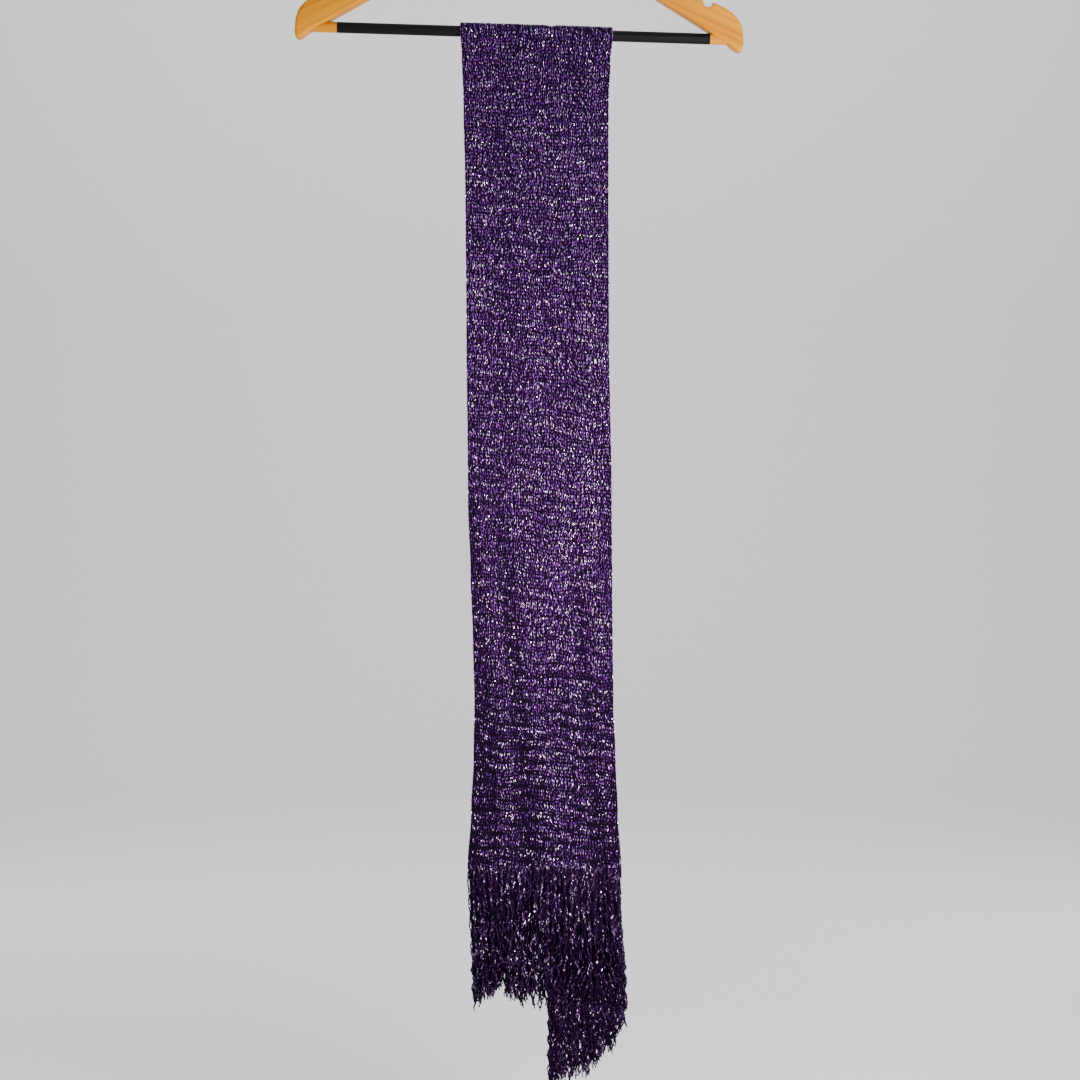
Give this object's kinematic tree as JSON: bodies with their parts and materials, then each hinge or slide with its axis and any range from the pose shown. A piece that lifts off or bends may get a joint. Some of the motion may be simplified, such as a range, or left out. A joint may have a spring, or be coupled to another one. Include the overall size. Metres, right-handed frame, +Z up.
{
  "type": "fringed knit shawl on a clothes hanger",
  "caption": "Narrow-folded, loosely knitted shimmering shawl with long fringe, hung over the trouser bar of a wooden clothes hanger with a steel hook.",
  "frame": {"origin": "inside top of the hook, where a rail carries the hanger", "axes": "+Z up, +X to the right and +Y away from someone who faces the front of the shawl; the hanger's bar runs along X and leans 1.8 degrees, its +X end lower"},
  "size_m": [0.4465, 0.0292, 1.2632],
  "materials": {
    "knit": "open knit with metallic lilac thread",
    "wood": "clear satin varnish",
    "sleeve": "matte black, grips the cloth",
    "steel": "polished"
  },
  "bodies": {
    "root": {"shawl_front_fall": "knit", "shawl_over_bar": "knit", "shawl_back_fall": "knit", "fringe_front": "knit", "fringe_back": "knit", "hanger_yoke": "wood", "hanger_bar": "wood", "hanger_bar_sleeve": "sleeve", "hanger_hook": "steel"}
  },
  "joints": []
}
